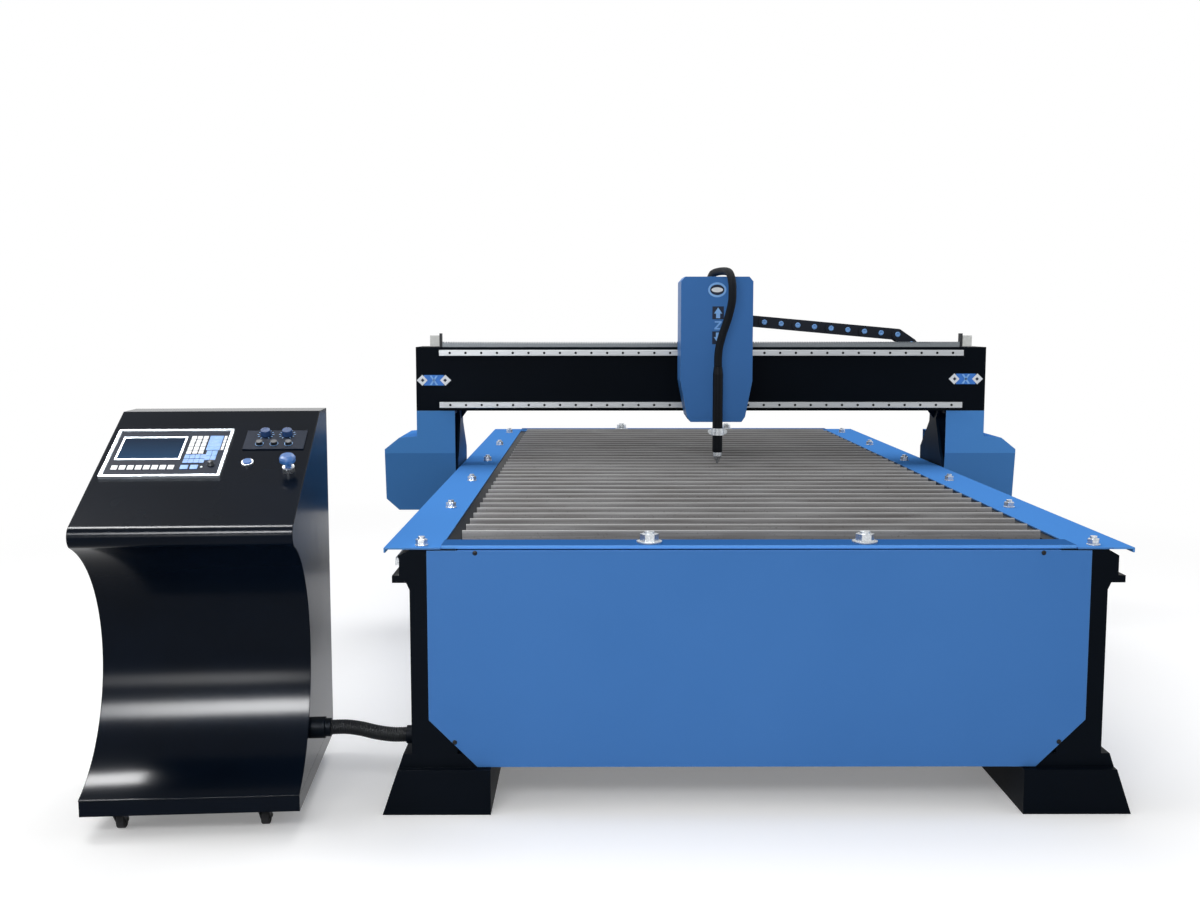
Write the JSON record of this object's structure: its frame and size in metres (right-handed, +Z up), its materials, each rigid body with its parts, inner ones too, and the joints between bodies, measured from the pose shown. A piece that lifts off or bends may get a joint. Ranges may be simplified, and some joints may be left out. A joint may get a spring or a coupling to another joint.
{
  "type": "cnc plasma cutting table",
  "caption": "Gantry plasma cutter: slatted steel bed in a blue and black frame, rack-driven gantry with covered torch lift and drag chain, and a sloped console on casters joined by a hose",
  "frame": {"origin": "centre of the footprint of table, gantry covers and console together, on the floor", "axes": "+X to the operator's right across the bed, +Y along the bed away from the front panel, +Z up"},
  "size_m": [2.8867, 3.6558, 1.4295],
  "materials": {
    "black_paint": "satin black paint",
    "bare_sheet": "dull mill sheet",
    "slat_steel": "dull heat-marked steel",
    "blue_paint": "smooth blue powder coat",
    "plated_steel": "bright zinc",
    "ground_steel": "ground",
    "gear_steel": "hobbed, oiled",
    "pale_plastic": "pale grey moulding",
    "chain_plastic": "black moulded nylon",
    "motor_black": "black anodised housing",
    "slide_aluminium": "milled",
    "torch_plastic": "black sleeve",
    "black_rubber": "matt black",
    "console_gloss": "gloss black enamel",
    "bezel_aluminium": "satin",
    "plate_black": "black anodised",
    "button_black": "black",
    "button_blue": "blue",
    "caster_steel": "black",
    "caster_tyre": "solid black tread"
  },
  "bodies": {
    "table": {"leg_frames": "black_paint", "side_beams": "black_paint", "cross_tubes": "black_paint", "slat_combs": "black_paint", "slag_tray": "bare_sheet", "slats": "slat_steel", "front_panel": "blue_paint", "skirt_panels": "blue_paint", "bed_rim": "blue_paint", "bed_bolts": "plated_steel", "y_rails": "ground_steel", "y_racks": "gear_steel", "console_shell": "console_gloss", "console_plinth": "console_gloss", "console_back": "console_gloss", "control_unit": "bezel_aluminium", "height_plate": "plate_black", "button_collars": "plated_steel", "rear_forks": "caster_steel", "hose_fittings": "black_rubber", "hose": "black_rubber"},
    "gantry": {"gantry_beam": "black_paint", "x_rails": "ground_steel", "x_rack": "gear_steel", "beam_stops": "pale_plastic", "chain_tray": "black_paint", "chain_lower": "chain_plastic", "gantry_legs": "black_paint", "leg_covers": "blue_paint", "y_blocks": "ground_steel", "y_drives": "motor_black"},
    "left_pinion": {"left_pinion": "gear_steel"},
    "right_pinion": {"right_pinion": "gear_steel"},
    "chain_bend": {"chain_bend": "chain_plastic"},
    "carriage": {"carriage_plate": "black_paint", "x_blocks": "ground_steel", "z_cover": "blue_paint", "carriage_motors": "motor_black", "z_rails": "ground_steel", "chain_upper": "chain_plastic", "torch_lead": "black_rubber"},
    "x_pinion": {"x_pinion": "gear_steel"},
    "z_screw": {"z_screw": "ground_steel"},
    "torch": {"z_slide": "slide_aluminium", "torch_clamp": "plated_steel", "torch_body": "torch_plastic", "torch_nozzle": "plated_steel"},
    "dial_left": {"dial_left": "button_blue"},
    "dial_right": {"dial_right": "button_blue"},
    "height_button_left": {"height_button_left": "button_black"},
    "height_button_middle": {"height_button_middle": "button_black"},
    "height_button_right": {"height_button_right": "button_black"},
    "push_button": {"push_button": "button_blue"},
    "stop_button": {"stop_button": "button_blue"},
    "fork_left": {"fork_left": "caster_steel"},
    "fork_right": {"fork_right": "caster_steel"},
    "wheel_front_left": {"wheel_front_left": "caster_tyre"},
    "wheel_front_right": {"wheel_front_right": "caster_tyre"},
    "wheel_rear_left": {"wheel_rear_left": "caster_tyre"},
    "wheel_rear_right": {"wheel_rear_right": "caster_tyre"}
  },
  "joints": [
    {"name": "gantry_travel", "type": "slide", "parent": "table", "child": "gantry", "axis": [0, 1, 0], "range_m": [-1.29, 1.29]},
    {"name": "left_pinion_turn", "type": "hinge", "parent": "gantry", "child": "left_pinion", "pos_m": [-0.66073, 0.2795, 0.542], "axis": [1, 0, 0], "continuous": true},
    {"name": "right_pinion_turn", "type": "hinge", "parent": "gantry", "child": "right_pinion", "pos_m": [1.11328, 0.2795, 0.542], "axis": [1, 0, 0], "continuous": true},
    {"name": "carriage_travel", "type": "slide", "parent": "gantry", "child": "carriage", "axis": [1, 0, 0], "range_m": [-0.79, 0.71], "deforming": ["chain_upper", "chain_lower"]},
    {"name": "x_pinion_turn", "type": "hinge", "parent": "carriage", "child": "x_pinion", "pos_m": [0.33827, 0.1265, 1.177], "axis": [0, 1, 0], "continuous": true},
    {"name": "chain_bend_travel", "type": "slide", "parent": "gantry", "child": "chain_bend", "axis": [1, 0, 0], "range_m": [-0.4, 0.36]},
    {"name": "torch_lift", "type": "slide", "parent": "carriage", "child": "torch", "axis": [0, 0, 1], "range_m": [-0.02, 0.12], "deforming": ["torch_lead"]},
    {"name": "z_screw_turn", "type": "hinge", "parent": "carriage", "child": "z_screw", "pos_m": [0.26627, 0.0515, 1], "axis": [0, 0, 1], "continuous": true},
    {"name": "dial_left_turn", "type": "hinge", "parent": "table", "child": "dial_left", "pos_m": [-1.03634, -1.44376, 0.94255], "axis": [0.032, -0.4575, 0.8886], "range_deg": [-150, 150]},
    {"name": "dial_right_turn", "type": "hinge", "parent": "table", "child": "dial_right", "pos_m": [-0.98148, -1.43992, 0.94255], "axis": [0.032, -0.4575, 0.8886], "range_deg": [-150, 150]},
    {"name": "height_button_left_press", "type": "slide", "parent": "table", "child": "height_button_left", "axis": [-0.032, 0.4575, -0.8886], "range_m": [0, 0.003], "stiffness_N_per_m": 500, "springref_m": -0.004},
    {"name": "height_button_middle_press", "type": "slide", "parent": "table", "child": "height_button_middle", "axis": [-0.032, 0.4575, -0.8886], "range_m": [0, 0.003], "stiffness_N_per_m": 500, "springref_m": -0.004},
    {"name": "height_button_right_press", "type": "slide", "parent": "table", "child": "height_button_right", "axis": [-0.032, 0.4575, -0.8886], "range_m": [0, 0.003], "stiffness_N_per_m": 500, "springref_m": -0.004},
    {"name": "push_button_press", "type": "slide", "parent": "table", "child": "push_button", "axis": [-0.032, 0.4575, -0.8886], "range_m": [0, 0.004], "stiffness_N_per_m": 500, "springref_m": -0.004},
    {"name": "stop_button_press", "type": "slide", "parent": "table", "child": "stop_button", "axis": [-0.032, 0.4575, -0.8886], "range_m": [0, 0.006], "stiffness_N_per_m": 900, "springref_m": -0.006},
    {"name": "caster_left_swivel", "type": "hinge", "parent": "table", "child": "fork_left", "pos_m": [-1.33197, -1.76042, 0.05], "axis": [0, 0, 1], "continuous": true},
    {"name": "wheel_front_left_roll", "type": "hinge", "parent": "fork_left", "child": "wheel_front_left", "pos_m": [-1.33351, -1.73847, 0.021], "axis": [0.9976, 0.0698, 0], "continuous": true},
    {"name": "wheel_rear_left_roll", "type": "hinge", "parent": "table", "child": "wheel_rear_left", "pos_m": [-1.36511, -1.28658, 0.021], "axis": [0.9976, 0.0698, 0], "continuous": true},
    {"name": "caster_right_swivel", "type": "hinge", "parent": "table", "child": "fork_right", "pos_m": [-0.98682, -1.73628, 0.05], "axis": [0, 0, 1], "continuous": true},
    {"name": "wheel_front_right_roll", "type": "hinge", "parent": "fork_right", "child": "wheel_front_right", "pos_m": [-0.98835, -1.71434, 0.021], "axis": [0.9976, 0.0698, 0], "continuous": true},
    {"name": "wheel_rear_right_roll", "type": "hinge", "parent": "table", "child": "wheel_rear_right", "pos_m": [-1.01995, -1.26244, 0.021], "axis": [0.9976, 0.0698, 0], "continuous": true}
  ],
  "couplings": [
    {"joint": "left_pinion_turn", "follows": "gantry_travel", "rad_per_m": 37.037},
    {"joint": "right_pinion_turn", "follows": "gantry_travel", "rad_per_m": 37.037},
    {"joint": "x_pinion_turn", "follows": "carriage_travel", "rad_per_m": 37.037},
    {"joint": "chain_bend_travel", "follows": "carriage_travel", "ratio": 0.5},
    {"joint": "z_screw_turn", "follows": "torch_lift", "rad_per_m": -628.32}
  ]
}
